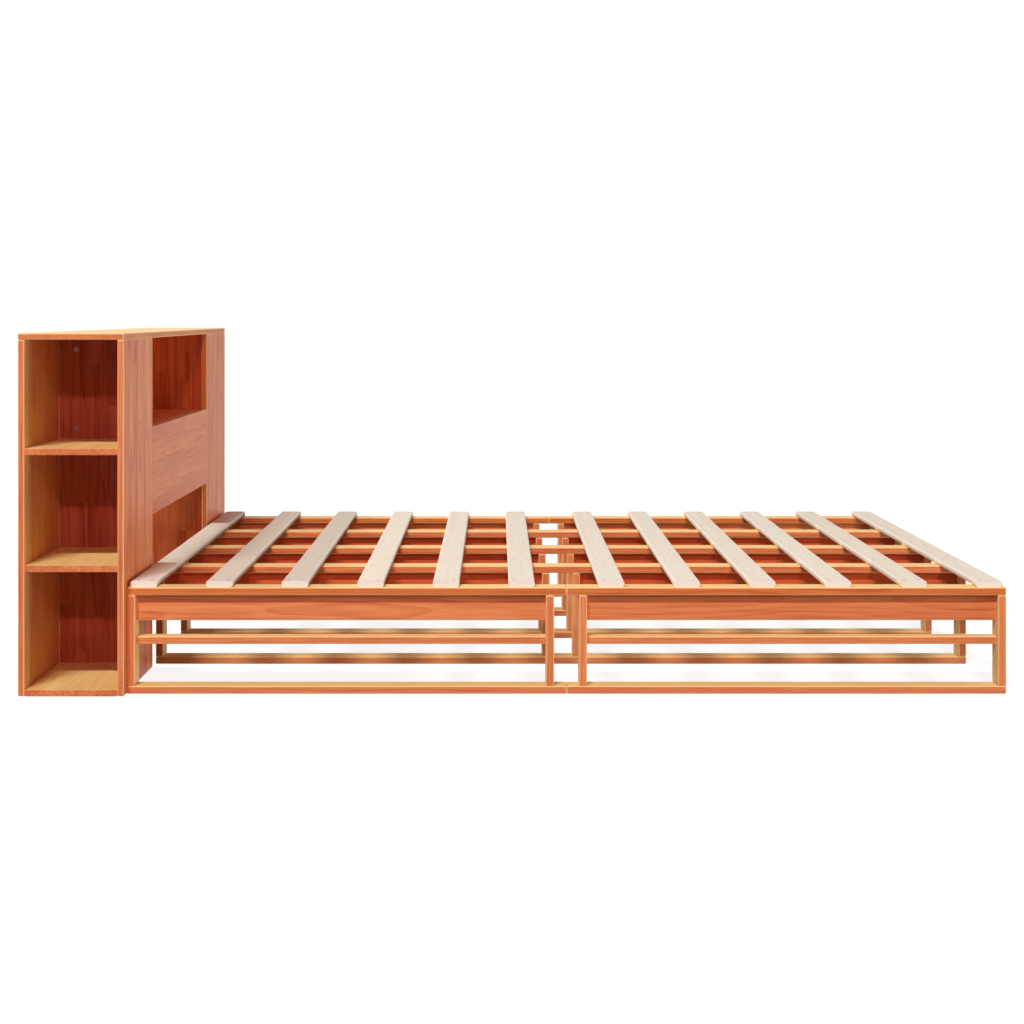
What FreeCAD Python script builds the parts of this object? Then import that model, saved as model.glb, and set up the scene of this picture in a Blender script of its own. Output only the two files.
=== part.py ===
import FreeCAD, Part
from collections import namedtuple
import os

# Wooden platform bed with a bookcase headboard, in millimetres.
# +X runs from head to foot, +Y from the left to the right side as seen from the foot, +Z up.
# The origin is on the floor under the middle of the whole bed.

# Base: two mirrored modules, each of lengthwise frames that carry the slats
base_length = 2000.0
base_width = 1400.0
base_height = 242.0
frame_count = 5
rail_width = 50.0
rail_thickness = 18.0
leg_thickness = 19.0
joint_leg_inset = 28.0
apron_height = 60.0
apron_thickness = 18.0
apron_setback = 17.0
mid_rail_thickness = 18.0
mid_rail_setback = 16.0
mid_rail_drop = 36.0

# Slats across the frames
slats_per_module = 6
slat_width = 60.0
slat_thickness = 14.0
slat_edge_radius = 5.0
slat_end_setback = 5.0
slat_head_gap = 8.0
slat_joint_gap = 72.0

# Headboard: two side cabinets of three cubbies, with a niche and a panel between them
headboard_depth = 240.0
headboard_overhang = 27.0
board_thickness = 15.0
stile_width = 328.0
wall_reveal = 3.0
lower_cubby_height = 266.0
middle_cubby_height = 249.0
upper_cubby_height = 245.0
niche_height = 217.0
panel_height = 216.0
niche_back_inset = 50.0

# Eased edges of all planed boards
edge_radius = 3.0
edge_limit_share = 0.45

# Wooden dowels
dowel_radius = 4.0
dowel_length = 30.0
dowel_face_depth = 10.0
dowel_clearance = 0.1
dowel_end_room = 1.0
dowel_spacing = 28.0
apron_dowel_shares = (0.2, 0.5)
mid_rail_dowel_shares = (0.25, 0.75)
shelf_dowel_shares = (0.2, 0.8)
wall_dowel_gap_shares = (0.25, 0.75)
wall_dowel_niche_share = 0.5
top_dowel_shares = (0.2, 0.8)
top_wall_dowel_share = 0.5
panel_end_dowel_shares = (0.15, 0.5, 0.85)
niche_floor_dowel_shares = (0.25, 0.75)
niche_long_dowel_shares = (0.15, 0.5, 0.85)

# Screws and bolts, all with flush countersunk heads
ScrewSize = namedtuple("ScrewSize", "head_radius head_height rim shank_radius length tip")
screw_clearance = 0.1
screw_end_room = 1.0
slat_screw = ScrewSize(head_radius=3.6, head_height=2.6, rim=0.4, shank_radius=1.75, length=27.0, tip=4.0)
slat_screw_spacing = 32.0
slat_screw_sink = 0.4
slat_screw_slot_width = 1.0
slat_screw_slot_depth = 1.4
slot_length_share = 0.62
plate_screw = ScrewSize(head_radius=3.2, head_height=1.6, rim=0.3, shank_radius=1.6, length=14.0, tip=3.0)
plate_screw_shares = (0.4, 0.8)
bolt_head_radius = 6.0
bolt_head_height = 4.0
bolt_rim = 0.8
bolt_radius = 3.0
bolt_tip = 1.0
bolt_end_room = 1.0
niche_screw = ScrewSize(head_radius=6.0, head_height=4.0, rim=0.8, shank_radius=3.0, length=50.0, tip=5.0)
niche_screw_low_inset = 13.0
niche_screw_high_inset = 28.0
socket_radius = 2.6
socket_depth = 2.5

# Steel pieces
plate_width = 18.0
plate_thickness = 2.0
plate_leg_clearance = 4.0
insert_radius = 5.0
insert_length = 14.0
cut_overrun = 5.0

# Places worked out from the sizes above
module_length = base_length / 2
frame_pitch = (base_width - rail_width) / (frame_count - 1)
rear_x = -(base_length + headboard_depth) / 2
front_x = rear_x + headboard_depth
joint_x = front_x + module_length
rear_board_x = rear_x + board_thickness
front_board_x = front_x - board_thickness
left_y = -base_width / 2
headboard_y = base_width / 2 + headboard_overhang
rail_middle = rail_width / 2
rail_under = base_height - rail_thickness
joint_leg_x = module_length - joint_leg_inset - leg_thickness
apron_bottom = rail_under - apron_height
mid_rail_top = apron_bottom - mid_rail_drop
mid_rail_bottom = mid_rail_top - mid_rail_thickness
mid_rail_width = rail_width - mid_rail_setback
slat_top = base_height + slat_thickness
slat_pitch = (module_length - slat_head_gap - slat_joint_gap - slat_width) / (slats_per_module - 1)
lower_shelf_z = board_thickness + lower_cubby_height
upper_shelf_z = lower_shelf_z + board_thickness + middle_cubby_height
top_board_z = upper_shelf_z + board_thickness + upper_cubby_height
headboard_height = top_board_z + board_thickness
panel_top = top_board_z - niche_height
panel_bottom = panel_top - panel_height
niche_floor_z = panel_top - board_thickness
stile_inner_y = headboard_y - stile_width
wall_inner_y = stile_inner_y + wall_reveal
wall_outer_y = wall_inner_y + board_thickness
niche_back_rear_x = rear_x + niche_back_inset
niche_back_front_x = niche_back_rear_x + board_thickness
plate_half = joint_leg_inset - plate_leg_clearance

Vector = FreeCAD.Vector
X_AXIS = Vector(1, 0, 0)
Y_AXIS = Vector(0, 1, 0)
Z_AXIS = Vector(0, 0, 1)

headboard_bolt = ScrewSize(
    head_radius=bolt_head_radius,
    head_height=bolt_head_height,
    rim=bolt_rim,
    shank_radius=bolt_radius,
    length=board_thickness + insert_length - bolt_end_room,
    tip=bolt_tip,
)


def between(low, high, shares):
    # Places at the given shares of the way from low to high
    return [low + (high - low) * share for share in shares]


def eased_board(low, high):
    # A planed board between two opposite corners, with all its edges eased
    size = high.sub(low)
    radius = min(edge_radius, min(size.x, size.y, size.z) * edge_limit_share)
    board = Part.makeBox(size.x, size.y, size.z, low)
    return board.makeFillet(radius, board.Edges)


def drilled(board, holes):
    # The board with every hole that reaches it
    box = board.BoundBox
    near = [hole for hole in holes if box.intersect(hole.BoundBox)]
    if not near:
        return board
    return board.cut(near).Solids[0]


def dowel(start, along):
    return Part.makeCylinder(dowel_radius, dowel_length, start, along)


def dowel_hole(start, along):
    low = start.sub(along * dowel_end_room)
    return Part.makeCylinder(dowel_radius + dowel_clearance, dowel_length + 2 * dowel_end_room, low, along)


def turned(size, grow, above, below):
    # A countersunk screw, head up at the origin, grown all round to make its hole
    head = size.head_radius + grow
    shank = size.shank_radius + grow
    profile = [
        Vector(0, 0, above),
        Vector(head, 0, above),
        Vector(head, 0, -size.rim),
        Vector(shank, 0, -size.head_height),
        Vector(shank, 0, size.tip - size.length),
        Vector(0, 0, -size.length - below),
        Vector(0, 0, above),
    ]
    return Part.Face(Part.makePolygon(profile)).revolve(Vector(), Z_AXIS, 360)


def aimed(shape, place, head_way):
    # Moves a screw or hole from the origin to its place, with its head facing head_way
    turn = FreeCAD.Rotation(Z_AXIS, head_way)
    return shape.transformed(FreeCAD.Placement(place, turn).toMatrix())


def screw_hole(size):
    return turned(size, screw_clearance, cut_overrun, screw_end_room)


def cross_head_screw(size, slot_width, slot_depth):
    half = size.head_radius * slot_length_share
    long_slot = Part.makeBox(2 * half, slot_width, slot_depth, Vector(-half, -slot_width / 2, -slot_depth))
    cross_slot = long_slot.rotated(Vector(), Z_AXIS, 90)
    return turned(size, 0, 0, 0).cut([long_slot, cross_slot]).Solids[0]


def hex_socket_screw(size):
    corner = Vector(socket_radius, 0, -socket_depth)
    corners = [FreeCAD.Rotation(Z_AXIS, 60 * side).multVec(corner) for side in range(7)]
    socket = Part.Face(Part.makePolygon(corners)).extrude(Z_AXIS * socket_depth)
    return turned(size, 0, 0, 0).cut(socket).Solids[0]


nodes = {}


def add(name, *solids):
    nodes.setdefault(name, []).extend(solids)


# One frame of a module, from its outer end (x = 0) to the joint and from its outer face (y = 0) inwards

def leg_dowel_spots():
    for leg_x in (0, joint_leg_x):
        for side in (-dowel_spacing / 2, dowel_spacing / 2):
            foot = Vector(leg_x + leg_thickness / 2, rail_middle + side, rail_thickness - dowel_face_depth)
            head = Vector(foot.x, foot.y, rail_under + dowel_face_depth)
            yield foot, Z_AXIS
            yield head, -Z_AXIS


def stretcher_dowel_spots():
    # Aprons and mid rails run between the legs, with two dowels in each end
    apron_y = apron_setback + apron_thickness / 2
    mid_z = mid_rail_bottom + mid_rail_thickness / 2
    spots = [(apron_y, z) for z in between(apron_bottom, rail_under, apron_dowel_shares)]
    spots += [(y, mid_z) for y in between(mid_rail_setback, rail_width, mid_rail_dowel_shares)]
    for y, z in spots:
        yield Vector(leg_thickness - dowel_face_depth, y, z), X_AXIS
        yield Vector(joint_leg_x + dowel_face_depth, y, z), -X_AXIS


def joint_dowel_spots():
    # Half of each dowel reaches across the butt joint into the other module's rail
    for z in (rail_thickness / 2, base_height - rail_thickness / 2):
        for side in (-dowel_spacing / 2, dowel_spacing / 2):
            yield Vector(module_length - dowel_length / 2, rail_middle + side, z), X_AXIS


def slat_screw_offsets():
    # Distances of the slat screws from the module's outer end
    for number in range(slats_per_module):
        middle = slat_head_gap + slat_width / 2 + number * slat_pitch
        yield middle - slat_screw_spacing / 2
        yield middle + slat_screw_spacing / 2


def plate_screw_offsets():
    return between(module_length, module_length - plate_half, plate_screw_shares)


def bolt_heights():
    # Between the bottom rail and the mid rail, and between the mid rail and the apron
    return [(rail_thickness + mid_rail_bottom) / 2, (mid_rail_top + apron_bottom) / 2]


def frame_pieces(with_bolts):
    dowel_spots = [*leg_dowel_spots(), *stretcher_dowel_spots(), *joint_dowel_spots()]
    holes = [dowel_hole(start, along) for start, along in dowel_spots]
    slat_hole = screw_hole(slat_screw)
    for x in slat_screw_offsets():
        holes.append(aimed(slat_hole, Vector(x, rail_middle, slat_top - slat_screw_sink), Z_AXIS))
    plate_hole = screw_hole(plate_screw)
    for x in plate_screw_offsets():
        holes.append(aimed(plate_hole, Vector(x, rail_middle, rail_under - plate_thickness), -Z_AXIS))
    if with_bolts:
        for z in bolt_heights():
            depth = insert_length + bolt_end_room
            place = Vector(0, rail_middle, z)
            holes.append(Part.makeCylinder(insert_radius + screw_clearance, depth, place, X_AXIS))
    boards = {
        "bottom_rail": (0, 0, 0, module_length, rail_width, rail_thickness),
        "top_rail": (0, 0, rail_under, module_length, rail_width, base_height),
        "head_leg": (0, 0, rail_thickness, leg_thickness, rail_width, rail_under),
        "joint_leg": (joint_leg_x, 0, rail_thickness, joint_leg_x + leg_thickness, rail_width, rail_under),
        "apron": (leg_thickness, apron_setback, apron_bottom,
                  joint_leg_x, apron_setback + apron_thickness, rail_under),
        "mid_rail": (leg_thickness, mid_rail_setback, mid_rail_bottom,
                     joint_leg_x, rail_width, mid_rail_top),
    }
    pieces = {}
    for name, (x, y, z, far_x, far_y, far_z) in boards.items():
        pieces[name] = drilled(eased_board(Vector(x, y, z), Vector(far_x, far_y, far_z)), holes)
    return pieces


def in_module(shape, module, row):
    # From one frame's own place to its row in the head or foot module; the last row faces outwards too
    if row == frame_count - 1:
        shape = shape.mirror(Vector(0, rail_middle, 0), Y_AXIS)
    shape = shape.translated(Vector(front_x, left_y + row * frame_pitch, 0))
    if module == "foot":
        shape = shape.mirror(Vector(joint_x, 0, 0), X_AXIS)
    return shape


# All frames of both modules
plain_frame = frame_pieces(with_bolts=False)
bolted_frame = frame_pieces(with_bolts=True)
outer_rows = {0: "left", frame_count - 1: "right"}
inner_names = {
    "bottom_rail": "inner_bottom_rails",
    "top_rail": "inner_top_rails",
    "head_leg": "inner_legs",
    "joint_leg": "inner_legs",
    "apron": "inner_aprons",
    "mid_rail": "inner_mid_rails",
}
for module in ("head", "foot"):
    for row in range(frame_count):
        pieces = bolted_frame if module == "head" and row in outer_rows else plain_frame
        for piece, shape in pieces.items():
            if row in outer_rows:
                kind = "legs" if piece.endswith("leg") else piece
                name = f"{module}_{outer_rows[row]}_{kind}"
            else:
                name = inner_names[piece]
            add(name, in_module(shape, module, row))

# Dowels of the frames; those across the joint are shared by both modules
for row in range(frame_count):
    for module in ("head", "foot"):
        for start, along in [*leg_dowel_spots(), *stretcher_dowel_spots()]:
            add("dowels", in_module(dowel(start, along), module, row))
    for start, along in joint_dowel_spots():
        add("dowels", in_module(dowel(start, along), "head", row))

# Slats with rounded edges, and a pair of screws where each one crosses a rail
rail_lines = [left_y + rail_middle + row * frame_pitch for row in range(frame_count)]


def bare_slat():
    half = base_width / 2 - slat_end_setback
    low = Vector(-slat_width / 2, -half, base_height)
    slat = Part.makeBox(slat_width, 2 * half, slat_thickness, low)
    long_edges = [edge for edge in slat.Edges if abs(edge.tangentAt(edge.FirstParameter).y) > 0.5]
    slat = slat.makeFillet(min(slat_edge_radius, slat_thickness * edge_limit_share), long_edges)
    hole = screw_hole(slat_screw)
    holes = []
    for x in (-slat_screw_spacing / 2, slat_screw_spacing / 2):
        for y in rail_lines:
            holes.append(aimed(hole, Vector(x, y, slat_top - slat_screw_sink), Z_AXIS))
    return drilled(slat, holes)


def slat_middles():
    # From the head end to the foot end; the foot module mirrors the head module
    offsets = [slat_head_gap + slat_width / 2 + number * slat_pitch for number in range(slats_per_module)]
    head_half = [front_x + offset for offset in offsets]
    foot_half = [2 * joint_x - x for x in reversed(head_half)]
    return head_half + foot_half


slat = bare_slat()
driven_slat_screw = cross_head_screw(slat_screw, slat_screw_slot_width, slat_screw_slot_depth)
for number, middle in enumerate(slat_middles(), start=1):
    add(f"slat_{number:02d}", slat.translated(Vector(middle, 0, 0)))
    for x in (middle - slat_screw_spacing / 2, middle + slat_screw_spacing / 2):
        for y in rail_lines:
            add("slat_screws", driven_slat_screw.translated(Vector(x, y, slat_top - slat_screw_sink)))


# Steel plates that tie the modules together under the top rails
def joining_plate():
    low = Vector(-plate_half, -plate_width / 2, rail_under - plate_thickness)
    plate = Part.makeBox(2 * plate_half, plate_width, plate_thickness, low)
    hole = screw_hole(plate_screw)
    spots = [Vector(way * (module_length - x), 0, low.z) for way in (1, -1) for x in plate_screw_offsets()]
    return drilled(plate, [aimed(hole, spot, -Z_AXIS) for spot in spots]), spots


plate, plate_screw_spots = joining_plate()
driven_plate_screw = cross_head_screw(plate_screw, slat_screw_slot_width, plate_screw.head_height / 2)
for y in rail_lines:
    middle = Vector(joint_x, y, 0)
    add("joining_plates", plate.translated(middle))
    for spot in plate_screw_spots:
        add("plate_screws", aimed(driven_plate_screw, middle.add(spot), -Z_AXIS))


# Headboard, drawn for the right-hand cabinet (y > 0) and mirrored to the left
def cabinet_boards():
    # Lowest and highest corners of each board
    shelf_low = (rear_board_x, wall_outer_y)
    shelf_high = (front_board_x, headboard_y)
    heights = {"floor_board": 0, "lower_shelf": lower_shelf_z, "upper_shelf": upper_shelf_z}
    boards = {
        "rear_board": (Vector(rear_x, stile_inner_y, 0), Vector(rear_board_x, headboard_y, top_board_z)),
        "front_board": (Vector(front_board_x, stile_inner_y, 0), Vector(front_x, headboard_y, top_board_z)),
        "inner_wall": (Vector(rear_board_x, wall_inner_y, 0), Vector(front_board_x, wall_outer_y, top_board_z)),
    }
    for name, z in heights.items():
        boards[name] = (Vector(*shelf_low, z), Vector(*shelf_high, z + board_thickness))
    return boards


def middle_boards():
    # Boards that run between or over both cabinets
    return {
        "front_panel": (Vector(front_board_x, -stile_inner_y, panel_bottom),
                        Vector(front_x, stile_inner_y, panel_top)),
        "niche_floor": (Vector(niche_back_front_x, -wall_inner_y, niche_floor_z),
                        Vector(front_board_x, wall_inner_y, panel_top)),
        "niche_back": (Vector(niche_back_rear_x, -wall_inner_y, niche_floor_z),
                       Vector(niche_back_front_x, wall_inner_y, top_board_z)),
        "top_board": (Vector(rear_x, -headboard_y, top_board_z),
                      Vector(front_x, headboard_y, headboard_height)),
    }


def cabinet_dowel_spots():
    half_board = board_thickness / 2
    wall_middle = wall_inner_y + half_board
    front_seat = front_board_x + dowel_face_depth
    rear_seat = rear_board_x - dowel_face_depth
    top_seat = top_board_z + dowel_face_depth
    # Shelves and wall into the front and rear boards
    for shelf_z in (0, lower_shelf_z, upper_shelf_z):
        for y in between(wall_outer_y, headboard_y, shelf_dowel_shares):
            yield Vector(front_seat, y, shelf_z + half_board), -X_AXIS
            yield Vector(rear_seat, y, shelf_z + half_board), X_AXIS
    wall_heights = between(0, panel_bottom, wall_dowel_gap_shares)
    wall_heights += between(panel_top, top_board_z, [wall_dowel_niche_share])
    for z in wall_heights:
        yield Vector(front_seat, wall_middle, z), -X_AXIS
        yield Vector(rear_seat, wall_middle, z), X_AXIS
    # Front board, rear board and wall up into the top board
    for y in between(stile_inner_y, headboard_y, top_dowel_shares):
        yield Vector(front_x - half_board, y, top_seat), -Z_AXIS
        yield Vector(rear_x + half_board, y, top_seat), -Z_AXIS
    for x in between(rear_board_x, front_board_x, [top_wall_dowel_share]):
        yield Vector(x, wall_middle, top_seat), -Z_AXIS
    # Panel into the edge of the front board, niche floor into the wall
    for z in between(panel_bottom, panel_top, panel_end_dowel_shares):
        yield Vector(front_x - half_board, stile_inner_y + dowel_length / 2, z), -Y_AXIS
    for x in between(niche_back_front_x, front_board_x, niche_floor_dowel_shares):
        yield Vector(x, wall_inner_y + dowel_face_depth, niche_floor_z + half_board), -Y_AXIS


def middle_dowel_spots():
    # Niche floor into the panel and the niche back, niche back into the top board
    half_board = board_thickness / 2
    floor_middle = niche_floor_z + half_board
    for y in between(-wall_inner_y, wall_inner_y, niche_long_dowel_shares):
        yield Vector(front_board_x + dowel_face_depth, y, floor_middle), -X_AXIS
        yield Vector(niche_back_front_x - dowel_face_depth, y, floor_middle), X_AXIS
        yield Vector(niche_back_front_x - half_board, y, top_board_z + dowel_face_depth), -Z_AXIS


def niche_screw_spots():
    # Through the wall into the end of the niche back, with the head in the cubby
    for z in (niche_floor_z + niche_screw_low_inset, top_board_z - niche_screw_high_inset):
        yield Vector(niche_back_front_x - board_thickness / 2, wall_outer_y, z)


def bolt_spots():
    # Through the front board into the head-end leg of the outer frame, with the head in the cubby
    for z in bolt_heights():
        yield Vector(front_board_x, base_width / 2 - rail_middle, z)


def mirrored(shape):
    return shape.mirror(Vector(), Y_AXIS)


def threaded_insert(place):
    tube = Part.makeCylinder(insert_radius, insert_length, place, X_AXIS)
    bore = Part.makeCylinder(bolt_radius + screw_clearance, insert_length, place, X_AXIS)
    return tube.cut(bore)


right_dowels = [dowel(start, along) for start, along in cabinet_dowel_spots()]
right_holes = [dowel_hole(start, along) for start, along in cabinet_dowel_spots()]
right_holes += [aimed(screw_hole(niche_screw), spot, Y_AXIS) for spot in niche_screw_spots()]
right_holes += [aimed(screw_hole(headboard_bolt), spot, -X_AXIS) for spot in bolt_spots()]
middle_holes = [dowel_hole(start, along) for start, along in middle_dowel_spots()]
both_holes = right_holes + [mirrored(hole) for hole in right_holes] + middle_holes

for name, (low, high) in cabinet_boards().items():
    right_board = drilled(eased_board(low, high), right_holes)
    add(f"right_{name}", right_board)
    add(f"left_{name}", mirrored(right_board))
for name, (low, high) in middle_boards().items():
    add(name, drilled(eased_board(low, high), both_holes))

for solid in right_dowels:
    add("dowels", solid, mirrored(solid))
for start, along in middle_dowel_spots():
    add("dowels", dowel(start, along))

driven_niche_screw = hex_socket_screw(niche_screw)
for spot in niche_screw_spots():
    solid = aimed(driven_niche_screw, spot, Y_AXIS)
    add("niche_screws", solid, mirrored(solid))
driven_bolt = hex_socket_screw(headboard_bolt)
for spot in bolt_spots():
    bolt = aimed(driven_bolt, spot, -X_AXIS)
    insert = threaded_insert(Vector(front_x, spot.y, spot.z))
    add("headboard_bolts", bolt, mirrored(bolt))
    add("headboard_inserts", insert, mirrored(insert))

os.makedirs("parts", exist_ok=True)
for name, solids in nodes.items():
    shape = solids[0] if len(solids) == 1 else Part.makeCompound(solids)
    shape.exportStep(f"parts/{name}.step")
print(len(nodes), "nodes,", sum(len(solids) for solids in nodes.values()), "solids")
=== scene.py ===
# %% [markdown]
# # A pine platform bed with a bookcase headboard
#
# The bed is a stack of planed boards: two modules of five lengthwise frames, twelve slats across them,
# and a headboard of shelves. The CAD model already fixes where every board is and how large it is. This
# lesson gives those boards their finish: eased edges, wood grain that follows each board, bare slats with
# countersunk screws, and plain studio light. All lengths are in metres.

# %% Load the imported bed
import math

import bmesh
import bpy
from mathutils import Matrix, Vector


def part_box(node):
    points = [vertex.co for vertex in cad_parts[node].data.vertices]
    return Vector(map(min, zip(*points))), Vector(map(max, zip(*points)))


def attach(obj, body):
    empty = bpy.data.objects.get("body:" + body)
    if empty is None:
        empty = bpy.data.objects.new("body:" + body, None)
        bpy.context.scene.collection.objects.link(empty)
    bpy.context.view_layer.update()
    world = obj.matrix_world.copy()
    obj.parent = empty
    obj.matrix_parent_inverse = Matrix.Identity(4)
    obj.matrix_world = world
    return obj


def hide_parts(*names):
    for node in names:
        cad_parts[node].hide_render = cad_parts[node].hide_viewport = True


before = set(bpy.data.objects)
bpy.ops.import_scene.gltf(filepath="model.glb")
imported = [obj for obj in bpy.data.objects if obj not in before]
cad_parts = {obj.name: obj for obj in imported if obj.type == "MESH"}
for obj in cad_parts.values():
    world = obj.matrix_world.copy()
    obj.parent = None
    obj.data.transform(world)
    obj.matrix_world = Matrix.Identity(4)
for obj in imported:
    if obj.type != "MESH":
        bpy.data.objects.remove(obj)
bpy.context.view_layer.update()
scene = bpy.context.scene

# %% [markdown]
# ## Where the boards are
#
# Some CAD nodes hold one board and some hold several, such as the pair of legs of a frame. To finish each
# board by itself we need its own box. The sizes could be written down again here, but measured ones follow
# the CAD model when it changes. The imported mesh is loose triangles, so a copy is merged first, and then
# every patch of connected vertices is one board.

# %% Boxes of the boards in a node
MERGE_DISTANCE = 1e-6


def boards_in(node):
    """(lowest corner, highest corner) of each board in a CAD node, in metres."""
    copy = bmesh.new()
    copy.from_mesh(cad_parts[node].data)
    bmesh.ops.remove_doubles(copy, verts=copy.verts, dist=MERGE_DISTANCE)
    waiting = set(copy.verts)
    boxes = []
    while waiting:
        front = [waiting.pop()]
        patch = []
        while front:
            vertex = front.pop()
            patch.append(vertex.co)
            for edge in vertex.link_edges:
                other = edge.other_vert(vertex)
                if other in waiting:
                    waiting.remove(other)
                    front.append(other)
        low = Vector(min(co[i] for co in patch) for i in range(3))
        high = Vector(max(co[i] for co in patch) for i in range(3))
        boxes.append((low, high))
    copy.free()
    return sorted(boxes, key=lambda box: tuple(box[0]))


print("boards among the inner legs:", len(boards_in("inner_legs")))

# %% [markdown]
# ## Short words for building node trees
#
# Geometry Nodes and materials are both node trees. They could be drawn by hand in the node editor, but a
# written tree can be read from top to bottom and made again. A few small helpers keep that readable: two
# add a node and feed its sockets, two add arithmetic, and two take vectors apart and put them together.

# %% Helpers for all node trees
NODE_STEP = 180


def place(tree, kind, feeds=None, **settings):
    """Adds a node. Feeds name its sockets, by name or place, and give a value or another node's output."""
    made = tree.nodes.new(kind)
    made.location.x = NODE_STEP * len(tree.nodes)
    for name, value in settings.items():
        setattr(made, name, value)
    for name, value in (feeds or {}).items():
        socket = made.inputs[name]
        if isinstance(value, bpy.types.NodeSocket):
            tree.links.new(value, socket)
        elif socket.type == "VECTOR" and isinstance(value, (int, float)):
            socket.default_value = (value, value, value)
        else:
            socket.default_value = value
    return made


def fed(tree, kind, feeds=None, **settings):
    """Adds a node and gives back its first output."""
    return place(tree, kind, feeds, **settings).outputs[0]


def number(tree, operation, *values):
    """One step of arithmetic on numbers."""
    return fed(tree, "ShaderNodeMath", dict(enumerate(values)), operation=operation)


def vector(tree, operation, *values):
    """One step of arithmetic on vectors."""
    made = place(tree, "ShaderNodeVectorMath", dict(enumerate(values)), operation=operation)
    return made.outputs["Value" if operation in ("DOT_PRODUCT", "LENGTH") else "Vector"]


def split(tree, value):
    """The three axes of a vector."""
    return place(tree, "ShaderNodeSeparateXYZ", {0: value}).outputs


def joined(tree, *parts):
    """A vector from numbers for X, Y and Z."""
    return fed(tree, "ShaderNodeCombineXYZ", dict(enumerate(parts)))


print("helpers for node trees: place, fed, number, vector, split, joined")

# %% [markdown]
# ## Running a Geometry Nodes tree
#
# A Geometry Nodes tree is a recipe. It takes a small starting mesh, here one point for each board, and grows
# the finished boards from it. The modifier could stay on the object, but other programs read only plain
# meshes. So it runs once, the result is kept as a mesh, and the modifier is taken off.

# %% Helpers for Geometry Nodes trees
def geometry_tree(name, inputs, outputs):
    """A new Geometry Nodes tree with its sockets, given as label: kind."""
    tree = bpy.data.node_groups.new(name, "GeometryNodeTree")
    for way, sockets in (("INPUT", inputs), ("OUTPUT", outputs)):
        for label, kind in sockets.items():
            tree.interface.new_socket(label, in_out=way, socket_type="NodeSocket" + kind)
    given = tree.nodes.new("NodeGroupInput").outputs
    result = tree.nodes.new("NodeGroupOutput").inputs
    return tree, given, result


def grown(name, mesh, tree, values):
    """Runs a tree on a starting mesh and keeps the result as one plain mesh."""
    piece = bpy.data.objects.new(name, mesh)
    scene.collection.objects.link(piece)
    modifier = piece.modifiers.new(tree.name, "NODES")
    modifier.node_group = tree
    for socket in tree.interface.items_tree:
        if socket.in_out == "INPUT" and socket.name in values:
            modifier[socket.identifier] = values[socket.name]
    depsgraph = bpy.context.evaluated_depsgraph_get()
    plain = bpy.data.meshes.new_from_object(
        piece.evaluated_get(depsgraph), preserve_all_data_layers=True, depsgraph=depsgraph
    )
    piece.modifiers.clear()
    piece.data = plain
    plain.name = name
    return piece


print("helpers for Geometry Nodes: geometry_tree, grown")

# %% [markdown]
# ## The eased corner rule
#
# A planed board is a box whose edges were rounded over with a router. A Bevel modifier could do that, but
# the rule is simple enough to write down: take a ball, cut it into eight, and push the eight corners apart
# until they sit in the corners of the board. Here the ball is a gridded cube. Its outer rows turn into the
# rounding, and the two rows inside those span the flat faces. The inner of the two, the land, keeps the flats
# flat when the mesh is shaded smooth. The radius is a vector, one value for each axis, so the end of a
# board that butts against another can stay nearly square.

# %% Node group: from a gridded cube to an eased board
ROWS_PER_STEP = 2.0
FLAT_ROWS = 4.0
EIGHTH_TURN = math.pi / 4


def eased_corner_group():
    tree, given, result = geometry_tree(
        "eased_corner",
        {"Unit": "Vector", "Half size": "Vector", "Edge radius": "Vector", "Land": "Float", "Steps": "Int"},
        {"Offset": "Vector"},
    )
    # Unit times gaps is 1, 3, 5 and so on outward from the middle, which gives rows 0, 1, 2 and so on
    gaps = number(tree, "MULTIPLY_ADD", given["Steps"], ROWS_PER_STEP, FLAT_ROWS - 1.0)
    side = vector(tree, "SIGN", given["Unit"])
    spread = vector(tree, "MULTIPLY", vector(tree, "ABSOLUTE", given["Unit"]), gaps)
    row = vector(tree, "MULTIPLY", vector(tree, "SUBTRACT", spread, 1.0), 0.5)
    # Row 0 is the land, row 1 starts the rounding, and the last row is half way round it
    past_land = vector(tree, "MAXIMUM", vector(tree, "SUBTRACT", row, 1.0), 0.0)
    turn = vector(tree, "MULTIPLY", vector(tree, "DIVIDE", past_land, given["Steps"]), EIGHTH_TURN)
    lean = vector(tree, "MULTIPLY", vector(tree, "TANGENT", turn), side)
    ball = vector(tree, "MULTIPLY", vector(tree, "NORMALIZE", lean), given["Edge radius"])
    is_land = vector(tree, "SUBTRACT", 1.0, vector(tree, "MINIMUM", row, 1.0))
    inset = vector(tree, "MULTIPLY_ADD", is_land, given["Land"], given["Edge radius"])
    core = vector(tree, "MULTIPLY", vector(tree, "SUBTRACT", given["Half size"], inset), side)
    tree.links.new(vector(tree, "ADD", core, ball), result["Offset"])
    return tree


eased_corner = eased_corner_group()
print("eased corner:", len(eased_corner.nodes), "nodes")

# %% [markdown]
# ## Boards that know their grain
#
# Wood looks right only if the grain runs along each board and no two boards show the same piece of tree.
# So each board is one point that carries its half size, the way its grain runs and the width of its glued
# strips. The tree puts a gridded cube on every point, eases it, and writes a grain attribute: a place in
# the tree trunk, measured along, across and through the board, with a random start. The wood material
# reads that attribute, so its pattern stays on the board in any view.

# %% Helpers for attributes
GRAIN_REACH = 40.0


def named(tree, name):
    """Reads a vector attribute."""
    return fed(tree, "GeometryNodeInputNamedAttribute", {"Name": name}, data_type="FLOAT_VECTOR")


def stored(tree, geometry, name, value):
    """Writes a vector attribute."""
    feeds = {"Geometry": geometry, "Name": name, "Value": value}
    return fed(tree, "GeometryNodeStoreNamedAttribute", feeds, data_type="FLOAT_VECTOR")


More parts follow.
